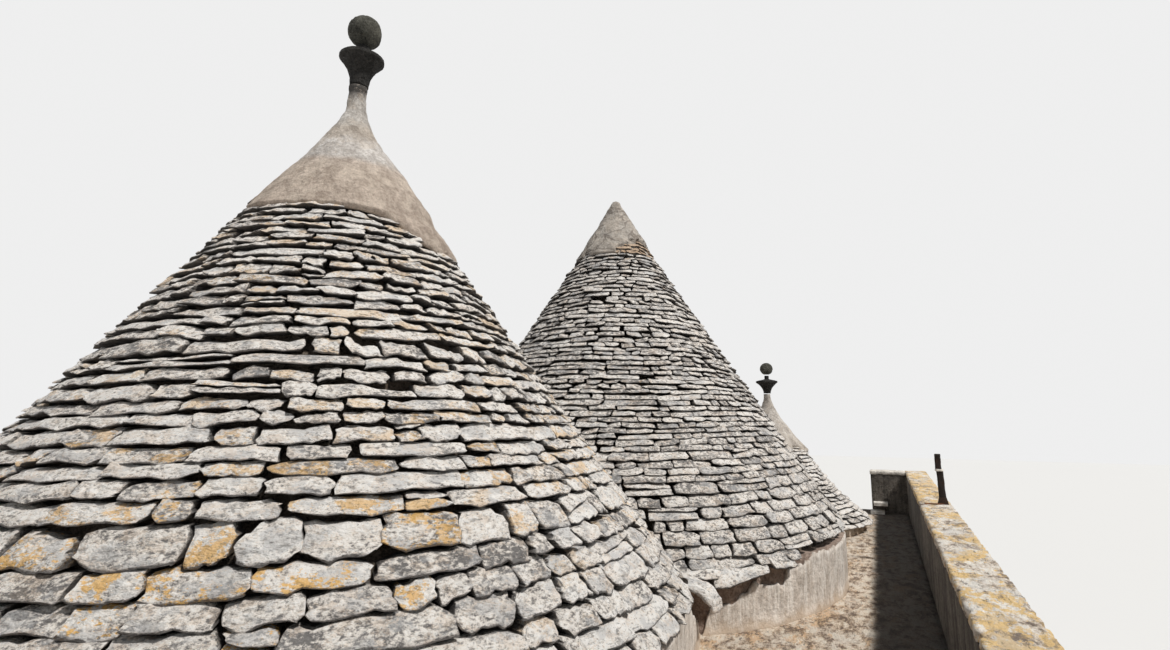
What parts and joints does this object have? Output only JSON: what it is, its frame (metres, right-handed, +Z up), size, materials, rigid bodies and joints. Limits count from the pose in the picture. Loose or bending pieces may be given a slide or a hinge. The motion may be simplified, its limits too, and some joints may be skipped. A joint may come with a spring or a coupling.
{
  "type": "trullo house",
  "caption": "Dry-stone trullo house: stone cones on plastered drums above a walled flat terrace, hollow chambers below, pinnacles and mortar caps.",
  "frame": {"origin": "centre of the footprint at ground level", "axes": "+Z up; +Y along the row of cones, from the doorway end to the far end; +X towards the parapet beside the walkway"},
  "size_m": [6.96, 12.7, 6.9224],
  "materials": {
    "wall_plaster": "lime plaster over rubble masonry, stained and worn",
    "dressed_stone": "dressed limestone, weathered",
    "rubble_stone": "rough limestone masonry",
    "terrace_mortar": "worn mortar over stone slabs",
    "drum_plaster": "old lime plaster, stained, torn at its top edge",
    "roof_stone": "dry-laid limestone slabs with lichen",
    "cap_mortar": "smooth lime mortar with dark bands",
    "finial_stone": "dark lichened stone",
    "parapet_plaster": "dark stained plaster",
    "coping_stone": "coping slabs with ochre lichen",
    "post_iron": "blackened iron",
    "foot_rust": "rusted iron"
  },
  "bodies": {
    "root": {"front_wall_west": "wall_plaster", "front_wall_east": "wall_plaster", "west_wall": "wall_plaster", "east_wall": "wall_plaster", "rear_wall": "wall_plaster", "door_jamb_west": "dressed_stone", "door_jamb_east": "dressed_stone", "door_arch": "dressed_stone", "rear_steps": "dressed_stone", "near_arch_piers": "rubble_stone", "near_arch_head": "rubble_stone", "far_arch_piers": "rubble_stone", "far_arch_head": "rubble_stone", "near_dome": "rubble_stone", "middle_dome": "rubble_stone", "far_dome": "rubble_stone", "terrace_near": "terrace_mortar", "terrace_middle": "terrace_mortar", "terrace_far": "terrace_mortar", "near_drum": "drum_plaster", "middle_drum": "drum_plaster", "far_drum": "drum_plaster", "near_roof_slabs": "roof_stone", "middle_roof_slabs": "roof_stone", "far_roof_slabs": "roof_stone", "valley_spout": "roof_stone", "near_cap": "cap_mortar", "middle_cap": "cap_mortar", "far_cap": "cap_mortar", "near_cup": "finial_stone", "near_ball": "finial_stone", "far_cup": "finial_stone", "far_ball": "finial_stone", "west_parapet": "parapet_plaster", "east_parapet": "parapet_plaster", "front_parapet": "parapet_plaster", "rear_parapet": "parapet_plaster", "rear_return": "parapet_plaster", "west_coping": "coping_stone", "east_coping_near": "coping_stone", "east_coping_far": "coping_stone", "front_coping": "coping_stone", "rear_coping": "coping_stone", "rear_return_coping": "coping_stone", "post": "post_iron", "post_foot": "foot_rust"}
  },
  "joints": []
}
